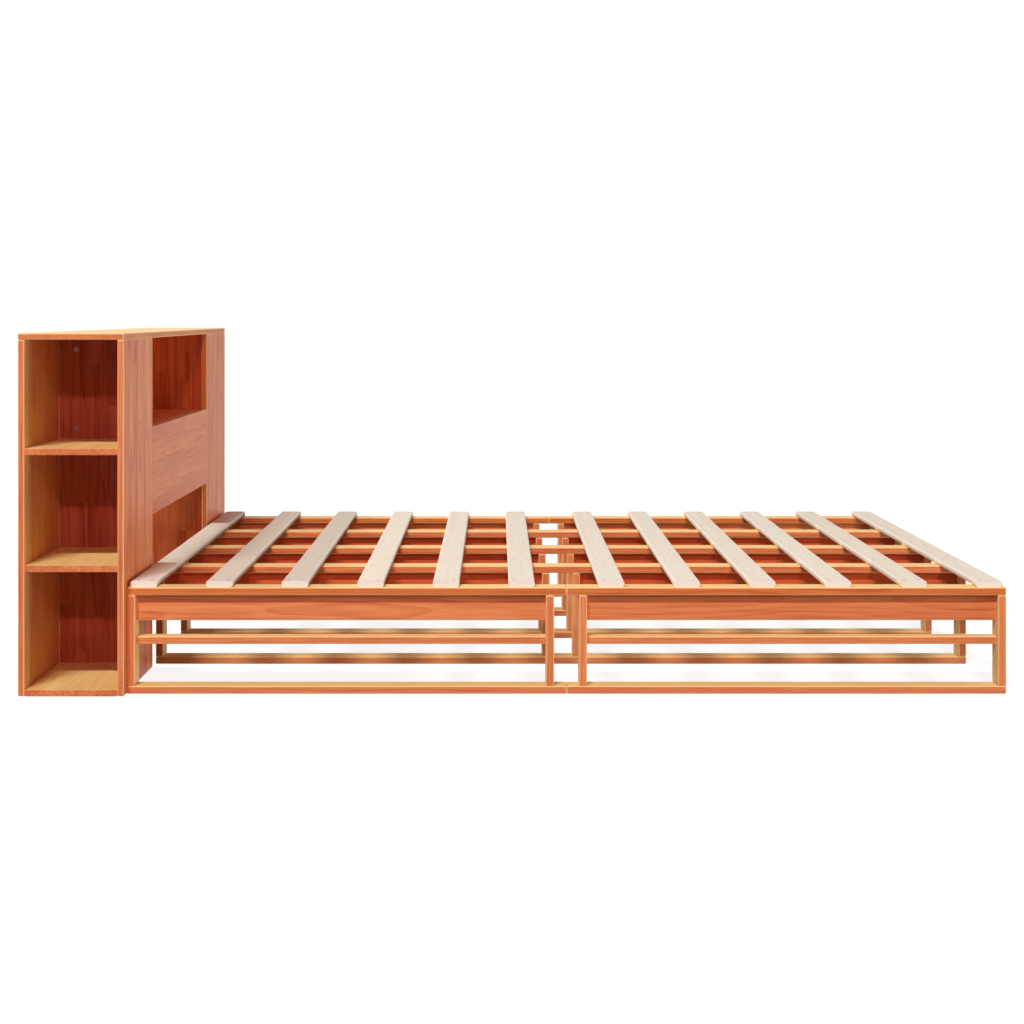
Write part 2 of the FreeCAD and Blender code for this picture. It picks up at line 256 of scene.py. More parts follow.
def random_start(tree, seed):
    """Another place in the trunk for each point. Sockets 0 and 1 are the lowest and highest value."""
    feeds = {0: 0.0, 1: GRAIN_REACH, "Seed": seed}
    return fed(tree, "FunctionNodeRandomValue", feeds, data_type="FLOAT_VECTOR")


print("random starts reach", GRAIN_REACH, "m into the trunk")

# %% [markdown]
# ## From a point to a board
#
# Each board starts as a point and ends as a block with rounded edges. The boards could be boxes with a Bevel
# modifier each, but then every box would need settings of its own. Here one gridded cube is put on all the
# points and shaped by what each point carries. The steps are the cube, its easing and its grain.

# %% Steps of the board tree
CUBE_SIZE = 2.0


def gridded_blocks(tree, points, steps):
    """A gridded cube on every point, which keeps its own coordinates as unit."""
    rows = number(tree, "MULTIPLY_ADD", steps, ROWS_PER_STEP, FLAT_ROWS)
    feeds = {"Size": CUBE_SIZE, "Vertices X": rows, "Vertices Y": rows, "Vertices Z": rows}
    cube = fed(tree, "GeometryNodeMeshCube", feeds)
    cube = stored(tree, cube, "unit", fed(tree, "GeometryNodeInputPosition"))
    blocks = fed(tree, "GeometryNodeInstanceOnPoints", {"Points": points, "Instance": cube})
    return fed(tree, "GeometryNodeRealizeInstances", {"Geometry": blocks})


def eased(tree, blocks, given):
    """Moves the rows of each block to the faces and rounded edges of its board."""
    radius = vector(tree, "MULTIPLY", named(tree, "ease"), given["Edge radius"])
    feeds = {"Unit": named(tree, "unit"), "Half size": named(tree, "half"), "Edge radius": radius,
             "Land": given["Land"], "Steps": given["Steps"]}
    offset = fed(tree, "GeometryNodeGroup", feeds, node_tree=eased_corner)
    position = vector(tree, "ADD", named(tree, "middle"), offset)
    return fed(tree, "GeometryNodeSetPosition", {"Geometry": blocks, "Position": position})


def with_grain(tree, boards):
    """Writes the place in the trunk, measured along, across and through each board."""
    local = vector(tree, "SUBTRACT", fed(tree, "GeometryNodeInputPosition"), named(tree, "middle"))
    along, across = named(tree, "along"), named(tree, "across")
    through = vector(tree, "CROSS_PRODUCT", along, across)
    trunk = joined(tree, *(vector(tree, "DOT_PRODUCT", local, way) for way in (along, across, through)))
    boards = stored(tree, boards, "grain", trunk)
    return stored(tree, boards, "tree", named(tree, "start"))


print("steps of the board tree: gridded_blocks, eased, with_grain")

# %% [markdown]
# ## The board tree
#
# The steps now become one tree with named inputs. Python could build the same boards vertex by vertex, but a
# tree shows its steps in the node editor, where its inputs can be tried by hand. At the end it drops the
# attributes that only the steps needed, so that a finished board carries just its grain, its place in the
# trunk and its strip width.

# %% Geometry Nodes tree: planed boards
POINT_NAMES = ("unit", "middle", "half", "along", "across", "ease", "start")


def planed_boards_tree():
    tree, given, result = geometry_tree(
        "planed_boards",
        {"Geometry": "Geometry", "Edge radius": "Float", "Land": "Float", "Steps": "Int",
         "Seed": "Int", "Finish": "Material"},
        {"Geometry": "Geometry"},
    )
    points = stored(tree, given["Geometry"], "middle", fed(tree, "GeometryNodeInputPosition"))
    points = stored(tree, points, "start", random_start(tree, given["Seed"]))
    blocks = gridded_blocks(tree, points, given["Steps"])
    boards = with_grain(tree, eased(tree, blocks, given))
    for name in POINT_NAMES:
        boards = fed(tree, "GeometryNodeRemoveAttribute", {"Geometry": boards, "Name": name})
    boards = fed(tree, "GeometryNodeSetShadeSmooth", {"Geometry": boards, "Shade Smooth": True})
    boards = fed(tree, "GeometryNodeSetMaterial", {"Geometry": boards, "Material": given["Finish"]})
    tree.links.new(boards, result["Geometry"])
    return tree


planed_boards = planed_boards_tree()
print("planed boards:", len(planed_boards.nodes), "nodes")

# %% [markdown]
# ## Short words for materials
#
# Tones are easiest to compare with a photograph as six hex digits, but shaders work with linear light, so a
# helper turns one into the other. The other three mix two colours, make a smooth ramp, and make noise that is
# stretched along the grain. Each of these could be wired anew every time, and the helpers only save that.

# %% Helpers for colours and patterns
NOISE_DETAIL = 2.0


def colour(code):
    """A colour written as six hex digits, turned to linear values by the sRGB curve."""
    parts = [int(code[i:i + 2], 16) / 255 for i in (0, 2, 4)]
    return tuple(x / 12.92 if x <= 0.04045 else ((x + 0.055) / 1.055) ** 2.4 for x in parts) + (1.0,)


def mixed(tree, share, first, second):
    """A colour between two others. A Mix node has its colours at places 6 and 7, and the result at 2."""
    feeds = {0: share, 6: first, 7: second}
    return place(tree, "ShaderNodeMix", feeds, data_type="RGBA").outputs[2]


def ramped(tree, value, low, high):
    """0 below low, 1 above high, and a smooth rise between."""
    feeds = {"Value": value, 1: low, 2: high}
    return fed(tree, "ShaderNodeMapRange", feeds, interpolation_type="SMOOTHSTEP")


def stretched_noise(tree, where, scales):
    """Noise with its own scale along, across and through the board."""
    feeds = {"Vector": vector(tree, "MULTIPLY", where, scales), "Scale": 1.0, "Detail": NOISE_DETAIL}
    return fed(tree, "ShaderNodeTexNoise", feeds)


print("middle grey in linear values:", round(colour("808080")[0], 3))

# %% [markdown]
# ## Growth rings and glued strips
#
# The frame and the headboard are pine. A picture of wood could be laid on the boards, but it would repeat
# and break off at the edges. Growth rings are cylinders round the pith, so here the pattern is the distance
# from a pith line that lies a few centimetres behind the face, bent a little by noise, and it runs right
# through the board. Each ring darkens slowly and ends sharply, as late wood does. Wide boards are glued from
# strips, and each strip is another piece of the trunk.

# %% Growth rings
STRIP_LENGTH = 0.62
WHOLE_BOARD = 1.0
RING_SPACING = 0.0065
RING_BEND, BEND_SCALES = 0.036, (1.6, 9.0, 9.0)
PITH_SWAY = 0.09
PITH_DEPTH, PITH_DEPTH_RANGE = 0.018, 0.05
LATE_WOOD_POWER, LATE_WOOD_END = 2.2, 0.93


def glued_strip(tree, axes, trunk, strip_width):
    """(which strip of the width this is, the random numbers of that strip)."""
    strip = number(tree, "ROUND", number(tree, "DIVIDE", axes[1], strip_width))
    row_key = vector(tree, "ADD", joined(tree, strip), trunk)
    row_chance = fed(tree, "ShaderNodeTexWhiteNoise", {"Vector": row_key})
    length = number(tree, "DIVIDE", axes[0], STRIP_LENGTH)
    block = number(tree, "FLOOR", number(tree, "ADD", row_chance, length))
    glued = number(tree, "LESS_THAN", strip_width, WHOLE_BOARD)
    key = joined(tree, strip, number(tree, "MULTIPLY", block, glued))
    chance = place(tree, "ShaderNodeTexWhiteNoise", {"Vector": vector(tree, "ADD", key, trunk)})
    return strip, chance.outputs


def growth_rings(tree, grain, trunk, strip_width):
    """(ring shade from 0 to 1, a random number per glued strip, a place in the trunk for finer noise)."""
    axes = split(tree, grain)
    strip, (chance, chances) = glued_strip(tree, axes, trunk, strip_width)
    pith = split(tree, chances)
    trunk_place = vector(tree, "ADD", grain, vector(tree, "MULTIPLY", chances, GRAIN_REACH))

    across = number(tree, "SUBTRACT", axes[1], number(tree, "MULTIPLY", strip, strip_width))
    sway = number(tree, "MULTIPLY_ADD", pith[0], PITH_SWAY, -PITH_SWAY / 2)
    across = number(tree, "SUBTRACT", across, sway)
    depth = number(tree, "MULTIPLY_ADD", pith[1], PITH_DEPTH_RANGE, PITH_DEPTH)
    through = number(tree, "ADD", axes[2], depth)
    square = number(tree, "MULTIPLY_ADD", across, across, number(tree, "MULTIPLY", through, through))
    bend = stretched_noise(tree, trunk_place, BEND_SCALES)
    distance = number(tree, "MULTIPLY_ADD", bend, RING_BEND, number(tree, "SQRT", square))
    ring = number(tree, "FRACT", number(tree, "DIVIDE", distance, RING_SPACING))
    late = number(tree, "POWER", ring, LATE_WOOD_POWER)
    return number(tree, "MULTIPLY", late, ramped(tree, ring, 1.0, LATE_WOOD_END)), chance, trunk_place


print("rings", RING_SPACING * 1000, "mm apart, strips", STRIP_LENGTH, "m long")

# %% [markdown]
# ## Grain, painted light and a painted highlight
#
# Bands, streaks and fine fibres lie over the rings. Faces that look up get paler honey tones, which are
# painted light, and the rounded edges get a pale tone, which is a painted highlight. Both could be drawn into
# a texture, but they follow from the way a surface faces, so the material reads the surface normal.

# %% Shade, painted edge highlight and painted light on faces
RING_SHARE, EARLY_SHADE = 0.5, 0.28
BAND_SCALES, BAND_SHARE = (1.1, 40.0, 40.0), 0.9
STREAK_SCALES, STREAK_SHARE = (7.0, 170.0, 170.0), 1.3
FIBRE_SCALES, FIBRE_SHARE = (14.0, 900.0, 900.0), 0.4
STRIP_SHARE = 0.4
# Where the painted edge highlight starts and where it is full.
HIGHLIGHT_STARTS, HIGHLIGHT_FULL = 0.998, 0.93
# Where the painted light on faces that look up starts and where it is full.
LIT_FACE_STARTS, LIT_FACE_FULL = 0.35, 0.9


def wood_shade(tree, ring, chance, fibre, trunk_place):
    """0 for pale early wood and 1 for dark late wood."""
    band = stretched_noise(tree, trunk_place, BAND_SCALES)
    streak = stretched_noise(tree, trunk_place, STREAK_SCALES)
    shade = number(tree, "MULTIPLY_ADD", ring, RING_SHARE, EARLY_SHADE)
    shares = ((band, BAND_SHARE), (streak, STREAK_SHARE), (fibre, FIBRE_SHARE), (chance, STRIP_SHARE))
    for part, share in shares:
        shade = number(tree, "MULTIPLY_ADD", number(tree, "SUBTRACT", part, 0.5), share, shade)
    return number(tree, "MINIMUM", number(tree, "MAXIMUM", shade, 0.0), 1.0)


def painted_light_masks(tree, side_share):
    """(1 on rounded edges, 1 on faces that look up): painted highlight and painted light. Lit side share: +X
    and -X.
    """
    normal = place(tree, "ShaderNodeNewGeometry").outputs["Normal"]
    facing = split(tree, vector(tree, "ABSOLUTE", normal))
    flatness = number(tree, "MAXIMUM", facing[0], number(tree, "MAXIMUM", facing[1], facing[2]))
    axes = split(tree, normal)
    ahead = number(tree, "MULTIPLY", axes[0], side_share[0])
    behind = number(tree, "MULTIPLY", axes[0], -side_share[1])
    lit_face_mask = number(tree, "MAXIMUM", axes[2], number(tree, "MAXIMUM", ahead, behind))
    return ramped(tree, flatness, HIGHLIGHT_STARTS, HIGHLIGHT_FULL), ramped(tree, lit_face_mask, LIT_FACE_STARTS, LIT_FACE_FULL)


# The painted edge highlight starts where the normal has turned this far.
print("edges wear from", round(math.degrees(math.acos(HIGHLIGHT_STARTS)), 1), "degrees of turn")

# %% [markdown]
# ## The pine recipe
#
# All the wood of the bed comes from one recipe, with tones, painted light, a painted edge highlight and gleam
# to choose. Each wood could be wired by hand, but then they would drift apart. Boards from the board tree
# carry their place in the trunk as attributes. CAD meshes have none, so for those the recipe reads Object
# coordinates and turns them along the grain. The fibres and rings also give a slight relief, which is too
# fine to model.

# %% Pine material
FIBRE_RELIEF, RING_RELIEF = 0.6, 0.4
RELIEF_STRENGTH, RELIEF_DEPTH = 0.25, 0.0004
FIBRE_ROUGHNESS = 0.18


def trunk_of_board(tree):
    """Grain, start in the trunk and strip width, as the board tree wrote them."""
    sources = (("grain", "Vector"), ("tree", "Vector"), ("strip", "Fac"))
    return [place(tree, "ShaderNodeAttribute", attribute_name=name).outputs[out] for name, out in sources]


def trunk_of_bed(tree, turn, start, strip_width):
    """The same three for a CAD mesh, from Object coordinates that are turned along the grain."""
    place_in_bed = place(tree, "ShaderNodeTexCoord").outputs["Object"]
    grain = fed(tree, "ShaderNodeMapping", {"Vector": place_in_bed, "Rotation": turn})
    return grain, joined(tree, *start), strip_width


def pine(name, tones, lit_face_tones, highlight_tone, highlight_share, roughness, specular,
         side_share=(0.0, 0.0), turned=None):
    """A pine material. Tones are (early wood, late wood). Turned is (turn, start, strip width) for CAD."""
    made = bpy.data.materials.new(name)
    made.use_nodes = True
    tree = made.node_tree
    tree.nodes.clear()
    grain, trunk, strip_width = trunk_of_bed(tree, *turned) if turned else trunk_of_board(tree)
    ring, chance, trunk_place = growth_rings(tree, grain, trunk, strip_width)
    fibre = stretched_noise(tree, trunk_place, FIBRE_SCALES)
    shade = wood_shade(tree, ring, chance, fibre, trunk_place)
    # Faces that look up, and lit flanks, take painted light; edge is the mask of the painted highlight on
    # rounded edges.
    edge, lit_face_mask = painted_light_masks(tree, side_share)
    wood = mixed(tree, lit_face_mask, mixed(tree, shade, *tones), mixed(tree, shade, *lit_face_tones))
    wood = mixed(tree, number(tree, "MULTIPLY", edge, highlight_share), wood, highlight_tone)

    relief = number(tree, "MULTIPLY_ADD", fibre, FIBRE_RELIEF, number(tree, "MULTIPLY", ring, RING_RELIEF))
    feeds = {"Height": relief, "Strength": RELIEF_STRENGTH, "Distance": RELIEF_DEPTH}
    surface = fed(tree, "ShaderNodeBsdfPrincipled", {
        "Base Color": wood, "Roughness": number(tree, "MULTIPLY_ADD", fibre, FIBRE_ROUGHNESS, roughness),
        "Specular IOR Level": specular, "Normal": fed(tree, "ShaderNodeBump", feeds),
    })
    place(tree, "ShaderNodeOutputMaterial", {"Surface": surface})
    return made


print("relief of", RELIEF_DEPTH * 1000, "mm")

# %% [markdown]
# ## Tones of the wax
#
# The wax is a warm red-brown. The flanks of the legs and the inner faces of the rear boards get the painted
# light of faces that look up as well. Boards deep inside the bed and the headboard get a redder, darker tone,
# which is painted shade, and the outer top rails are a shade deeper than the aprons. One material could mix
# all this by place, but a few materials from the same recipe are easier to read and to change.

# %% Waxed pine
WAXED_TONES = (colour("F69C62"), colour("C65B37"))
# Painted light: paler honey tones for faces that look up and for lit flanks.
PAINTED_LIGHT_WAX_TONES = (colour("FAD994"), colour("E4B15C"))
# Painted shade: redder, darker tones for the boards deep inside the bed.
INNER_PAINTED_SHADE_TONES = (colour("EA7240"), colour("BA421F"))
RAIL_TONES = (colour("EC8F4D"), colour("BE532A"))
# Painted highlight: a pale tone on the rounded edges.
EDGE_HIGHLIGHT_TONE = colour("FAC88A")
WAX_ROUGHNESS, WAX_SPECULAR = 0.34, 0.1
# How much painted light the flanks to +X and -X get.
LEG_PAINTED_LIGHT, REAR_PAINTED_LIGHT = (0.9, 0.9), (0.66, 0.0)
# The niche boards get a weaker painted edge highlight.
NICHE_EDGE_HIGHLIGHT = 0.35


def waxed(name, tones=WAXED_TONES, lit_face_tones=PAINTED_LIGHT_WAX_TONES, highlight=1.0, **others):
    """Pine with the bed's wax, painted light on faces that look up and a painted highlight on rounded edges.
    """
    return pine(name, tones, lit_face_tones, EDGE_HIGHLIGHT_TONE, highlight, WAX_ROUGHNESS, WAX_SPECULAR, **others)


waxed_pine = waxed("waxed_pine")
leg_pine = waxed("waxed_pine_legs", side_share=LEG_PAINTED_LIGHT)
rear_pine = waxed("waxed_pine_rear", side_share=REAR_PAINTED_LIGHT)
# The niche floor and the front panel get no painted light on faces that look up.
niche_pine = waxed("waxed_pine_niche", lit_face_tones=WAXED_TONES, highlight=NICHE_EDGE_HIGHLIGHT)
# Painted shade: the inner aprons are darker and redder.
inner_shade_pine = waxed("waxed_pine_inner_shade", INNER_PAINTED_SHADE_TONES)
rail_pine = waxed("waxed_pine_rails", RAIL_TONES)
print("waxed pine:", len(waxed_pine.node_tree.nodes), "nodes")

# %% [markdown]
# ## The frames and the headboard boards
#
# Every board goes through the same tree, one finished piece for each CAD node. The boards could be modelled
# one by one, but a point that says what the tree has to know is enough. The grain runs along the longest
# side of a board and the glued strips lie across its width. Narrow rails are cut from one strip, so theirs
# is set far wider than the board.

# %% Points that stand for boards
STRIP_WIDTH = 0.046
ONE_STRIP = 10.0
WIDE_BOARD = 0.1
X, Y, Z = range(3)
AXES = [Vector((1, 0, 0)), Vector((0, 1, 0)), Vector((0, 0, 1))]


def board_points(name, boxes, end_share):
    """A mesh with one point for each board, which carries what the board tree has to know."""
    mesh = bpy.data.meshes.new(name)
    mesh.from_pydata([(low + high) / 2 for low, high in boxes], [], [])
    facts = {"half": [], "along": [], "across": [], "ease": []}
    strips = []
    for low, high in boxes:
        size = high - low
        by_size = sorted(range(3), key=lambda i: size[i], reverse=True)
        facts["half"] += list(size / 2)
        facts["along"] += list(AXES[by_size[0]])
        facts["across"] += list(AXES[by_size[1]])
        facts["ease"] += [end_share if i == by_size[0] else 1.0 for i in range(3)]
        strips.append(STRIP_WIDTH if size[by_size[1]] > WIDE_BOARD else ONE_STRIP)
    for label, values in facts.items():
        mesh.attributes.new(label, "FLOAT_VECTOR", "POINT").data.foreach_set("vector", values)
    mesh.attributes.new("strip", "FLOAT", "POINT").data.foreach_set("value", strips)
    return mesh


print("boards wider than", WIDE_BOARD, "m have strips of", STRIP_WIDTH, "m")

# %% [markdown]
# ## Planing and butted ends
#
# The edges of the real boards are rounded all round. Shelves, aprons and mid rails butt against other boards,
# though, and a rounded end there would show as a groove at the joint. The joint could be filled, but it is
# simpler to leave such ends nearly square. Each finished piece takes the place of its CAD node and rides on
# the bed's only body.

# %% Plane one node's boards
EDGE_RADIUS = 0.003
EDGE_LAND = 0.0006
EDGE_STEPS = 3
BUTTED_END = 0.12
BUTTED_BOARDS = ("mid_rail", "mid_rails", "apron", "aprons", "shelf", "floor_board", "niche_floor", "panel")
OTHER_FINISHES = {
    "legs": leg_pine, "rear_board": rear_pine, "niche_floor": niche_pine, "front_panel": niche_pine,
    "inner_aprons": inner_shade_pine, "_top_rail": rail_pine,
}


def planed(node, seed):
    """The finished boards of one CAD node."""
    name = node + "_planed"
    finish = next((wood for end, wood in OTHER_FINISHES.items() if node.endswith(end)), waxed_pine)
    end_share = BUTTED_END if node.endswith(BUTTED_BOARDS) else 1.0
    piece = grown(name, board_points(name, boards_in(node), end_share), planed_boards, {
        "Edge radius": EDGE_RADIUS, "Land": EDGE_LAND, "Steps": EDGE_STEPS, "Seed": seed, "Finish": finish,
    })
    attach(piece, "root")
    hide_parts(node)
    return piece


print("edges of", EDGE_RADIUS * 1000, "mm radius,", len(OTHER_FINISHES), "kinds of board with another finish")

# %% [markdown]
# ## All the boards
#
# A node's name says where its boards are: which module, which side and what kind. All the names could be
# listed, but making them from short lists shows how the bed is put together. The number of a name in the
# list is its seed, so every board is cut from another piece of the trunk.

# %% Plane all boards
MODULES = ("head", "foot")
SIDES = ("left", "right")
OUTER_BOARDS = ("top_rail", "bottom_rail", "mid_rail", "apron", "legs")
INNER_BOARDS = ("inner_top_rails", "inner_bottom_rails", "inner_mid_rails", "inner_aprons", "inner_legs")
CABINET_BOARDS = ("rear_board", "floor_board", "lower_shelf", "upper_shelf")
MIDDLE_BOARDS = ("top_board", "front_panel", "niche_floor", "niche_back")

wooden_nodes = [f"{module}_{side}_{board}" for module in MODULES for side in SIDES for board in OUTER_BOARDS]
wooden_nodes += INNER_BOARDS
wooden_nodes += [f"{side}_{board}" for side in SIDES for board in CABINET_BOARDS]
wooden_nodes += MIDDLE_BOARDS
planed_pieces = [planed(node, seed) for seed, node in enumerate(wooden_nodes)]
print(len(planed_pieces), "planed pieces,", sum(len(p.data.polygons) for p in planed_pieces), "faces")

# %% [markdown]
# ## Boards that keep their CAD shape
#
# The front boards and inner walls of the cabinets have countersunk holes for the bolts and screws, and the
# CAD model already has those holes. They could be cut again in Blender, but keeping the CAD meshes is
# simpler and exact, so they get the same pine on Object coordinates. A Mapping node turns the trunk upright,
# so that the grain runs up the board as it does on the real one. The inner walls are darker and redder than
# the boards outside, which is painted shade.

# %% Pine for the drilled boards
# Painted shade: darker, redder tones for the inner walls of the cabinets.
SHADED_TONES = (colour("C66C4A"), colour("9E4024"))
WALL_PAINTED_SHADE_TONES = (colour("DA703F"), colour("AE421E"))
# Which axis runs across the board, its tones, and where in the trunk it was cut
DRILLED_BOARDS = {
    "left_front_board": (Y, WAXED_TONES, (3.1, 7.6, 0.0)),
    "right_front_board": (Y, WAXED_TONES, (10.4, 7.6, 0.0)),
    "left_inner_wall": (X, SHADED_TONES, (3.1, 1.7, 0.0)),
    "right_inner_wall": (X, WALL_PAINTED_SHADE_TONES, (10.4, 1.7, 0.0)),
}


def upright(across_axis):
    """Rotation that turns the bed's axes into along, across and through for a standing board."""
    along = AXES[Z]
    across = AXES[across_axis]
    return tuple(Matrix((along, across, along.cross(across))).to_euler())


def finish_cad(node, finish):
    """Gives a CAD node its material and leaves its mesh as it is."""
    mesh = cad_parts[node].data
    mesh.materials.clear()
    mesh.materials.append(finish)


for board, (across_axis, tones, start) in DRILLED_BOARDS.items():
    turned = (upright(across_axis), start, STRIP_WIDTH)
    finish_cad(board, waxed("waxed_pine_" + board, tones, turned=turned))
print("drilled boards:", len(DRILLED_BOARDS))

# %% [markdown]
# ## Bare slats
#
# The twelve slats are planed pine with no wax, rounded along both edges. A moulding like this is a profile
# pushed along a line, so the tree fillets a rectangle and sweeps it, where a bevelled box would round the
# ends as well. Each slat has ten countersunk holes, two over every rail, which cones can cut out.

# %% Steps of the slat tree
DRILL_SIDES = 20
SCREWS_PER_RAIL = 2
SHARP_ANGLE = math.radians(35)


def moulding(tree, given):
    """A rounded bar along Y."""
    sizes = {"Width": given["Width"], "Height": given["Thickness"]}
    profile = fed(tree, "GeometryNodeCurvePrimitiveQuadrilateral", sizes)
    rounding = {"Curve": profile, "Count": given["Steps"], "Radius": given["Edge radius"]}
    profile = fed(tree, "GeometryNodeFilletCurve", rounding, mode="POLY")
    half = number(tree, "MULTIPLY", given["Length"], 0.5)
    ends = [joined(tree, 0.0, end) for end in (number(tree, "MULTIPLY", half, -1.0), half)]
    line = fed(tree, "GeometryNodeCurvePrimitiveLine", {"Start": ends[0], "End": ends[1]})
    feeds = {"Curve": line, "Profile Curve": profile, "Fill Caps": True}
    return fed(tree, "GeometryNodeCurveToMesh", feeds)


def countersinks(tree, given):
    """Cones that stand on their points, twice as wide and deep as the holes, half sunk into the slat."""
    grid = fed(tree, "GeometryNodeMeshGrid", {
        "Size X": given["Screw spacing"], "Size Y": given["Rail span"],
        "Vertices X": SCREWS_PER_RAIL, "Vertices Y": given["Rails"],
    })
    wide = number(tree, "MULTIPLY", given["Hole radius"], 2.0)
    deep = number(tree, "MULTIPLY", given["Hole depth"], 2.0)
    cone = {"Vertices": DRILL_SIDES, "Radius Top": wide, "Radius Bottom": 0.0, "Depth": deep}
    surface = number(tree, "MULTIPLY", given["Thickness"], 0.5)
    point = joined(tree, 0.0, 0.0, number(tree, "SUBTRACT", surface, given["Hole depth"]))
    feeds = {"Geometry": fed(tree, "GeometryNodeMeshCone", cone), "Translation": point}
    drill = fed(tree, "GeometryNodeTransform", feeds)
    drills = fed(tree, "GeometryNodeInstanceOnPoints", {"Points": grid, "Instance": drill})
    return fed(tree, "GeometryNodeRealizeInstances", {"Geometry": drills})


def smooth_but_sharp(tree, mesh):
    """Smooth shading, except at edges that turn by more than the sharp angle."""
    mesh = fed(tree, "GeometryNodeSetShadeSmooth", {"Geometry": mesh, "Shade Smooth": True})
    bend = fed(tree, "GeometryNodeInputMeshEdgeAngle")
    sharp = fed(tree, "FunctionNodeCompare", {0: bend, 1: SHARP_ANGLE},
                data_type="FLOAT", operation="GREATER_THAN")
    feeds = {"Geometry": mesh, "Selection": sharp, "Shade Smooth": False}
    return fed(tree, "GeometryNodeSetShadeSmooth", feeds, domain="EDGE")


print("steps of the slat tree: moulding, countersinks, smooth_but_sharp")

# %% [markdown]
# ## The slat tree
#
# One slat is drilled with a boolean and then copied to the twelve places, with another piece of trunk for
# each. Every slat could be drilled by itself, but the slats are all alike and a boolean is slow. The slat
# lies along Y, so its grain takes Y as the way along the trunk.

# %% Geometry Nodes tree: drilled slats
def slat_tree():
    tree, given, result = geometry_tree(
        "drilled_slats",
        {"Geometry": "Geometry", "Width": "Float", "Thickness": "Float", "Length": "Float",
         "Edge radius": "Float", "Steps": "Int", "Screw spacing": "Float", "Rail span": "Float",
         "Rails": "Int", "Hole radius": "Float", "Hole depth": "Float", "Seed": "Int", "Finish": "Material"},
        {"Geometry": "Geometry"},
    )
    slat = fed(tree, "GeometryNodeMeshBoolean", {0: moulding(tree, given), 1: countersinks(tree, given)},
               operation="DIFFERENCE", solver="EXACT")
    axes = split(tree, fed(tree, "GeometryNodeInputPosition"))
    slat = stored(tree, slat, "grain", joined(tree, axes[1], axes[0], axes[2]))
    slat = smooth_but_sharp(tree, slat)

    points = stored(tree, given["Geometry"], "tree", random_start(tree, given["Seed"]))
    slats = fed(tree, "GeometryNodeInstanceOnPoints", {"Points": points, "Instance": slat})
    slats = fed(tree, "GeometryNodeRealizeInstances", {"Geometry": slats})
    slats = fed(tree, "GeometryNodeSetMaterial", {"Geometry": slats, "Material": given["Finish"]})
    tree.links.new(slats, result["Geometry"])
    return tree


drilled_slats = slat_tree()
print("drilled slats:", len(drilled_slats.nodes), "nodes")

# %% [markdown]
# ## Bare pine
#
# The slats have no wax, so they are pale and matt, with only a faint painted highlight on their edges. Their
# ends and sides are painted a little paler than their tops, which is painted light. A plain colour could do
# at this distance, but the grain shows when the camera comes near, so they get the same recipe with paler
# tones and less gleam.

# %% Bare pine
# Painted light: the ends and sides of the slats are a little paler than their tops.
BARE_PAINTED_LIGHT_TONES = (colour("FFF8EC"), colour("F2E6D2"))
BARE_TOP_TONES = (colour("F1E8D7"), colour("E4D8C1"))
# A faint painted highlight on the rounded edges of the slats.
BARE_EDGE_HIGHLIGHT = 0.3
BARE_ROUGHNESS, BARE_SPECULAR = 0.5, 0.05
bare_pine = pine("bare_pine", BARE_PAINTED_LIGHT_TONES, BARE_TOP_TONES, BARE_PAINTED_LIGHT_TONES[0], BARE_EDGE_HIGHLIGHT,
                 BARE_ROUGHNESS, BARE_SPECULAR)
print("bare pine:", len(bare_pine.node_tree.nodes), "nodes")

# %% [markdown]
# ## Measuring the deck
#
# On the real bed each slat is screwed down to every rail, so its holes have to meet the middle of the rails.
# The number of rails and their span could be typed in, but both are measured from the CAD model, like the
# size of a slat.

# %% Measure the deck
SLAT_NODES = [f"slat_{i:02d}" for i in range(1, 13)]
OUTER_RAILS = 2

slat_boxes = [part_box(node) for node in SLAT_NODES]
slat_size = slat_boxes[0][1] - slat_boxes[0][0]
inner_middles = [(low.y + high.y) / 2 for low, high in boards_in("inner_top_rails")]
rail_count = len(set(round(y, 4) for y in inner_middles)) + OUTER_RAILS
# The outer rails lie alike on both sides of the bed's middle, so their span is twice the middle of one
outer_low, outer_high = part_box("head_right_top_rail")
rail_span = outer_low.y + outer_high.y
print("slat", [round(x, 4) for x in slat_size], "m over", rail_count, "rails, span", round(rail_span, 4), "m")

# %% [markdown]
# ## Laying the slats
#
# Now the tree runs with the measured sizes. The CAD model holds the screws, and the holes are a little wider
# and deeper than the screw heads. They could fit tightly, but then two surfaces would share one place and
# the renderer couldn't tell which of them to show.

# %% Lay the slats
SLAT_EDGE_RADIUS = 0.005
SLAT_STEPS = 6
SLAT_SEED = 101
SCREW_SPACING = 0.032
SCREW_SINK = 0.0004
SCREW_HEAD_RADIUS = 0.0036
SCREW_HEAD_HEIGHT = 0.0026

points = bpy.data.meshes.new("slats")
points.from_pydata([(low + high) / 2 for low, high in slat_boxes], [], [])
points.attributes.new("strip", "FLOAT", "POINT").data.foreach_set("value", [ONE_STRIP] * len(slat_boxes))
slats = grown("slats", points, drilled_slats, {
    "Width": slat_size.x, "Thickness": slat_size.z, "Length": slat_size.y,
    "Edge radius": SLAT_EDGE_RADIUS, "Steps": SLAT_STEPS,
    "Screw spacing": SCREW_SPACING, "Rail span": rail_span, "Rails": rail_count,
    "Hole radius": SCREW_HEAD_RADIUS + SCREW_SINK, "Hole depth": SCREW_HEAD_HEIGHT + SCREW_SINK,
    "Seed": SLAT_SEED, "Finish": bare_pine,
})
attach(slats, "root")
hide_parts(*SLAT_NODES)
print("slats:", len(slats.data.polygons), "faces")

# %% [markdown]
# ## Screws and hidden hardware
#
# The CAD model holds the screws, bolts, plates and dowels at their real places. They could be modelled again
# in Blender, but they need only a finish. The bolts, plates and inserts are zinc-plated steel. The slat
# screws lie in deep countersinks and show as small dark dots, so theirs is a dull dark steel with no gleam,
# and the niche screws are browned to match the wax.

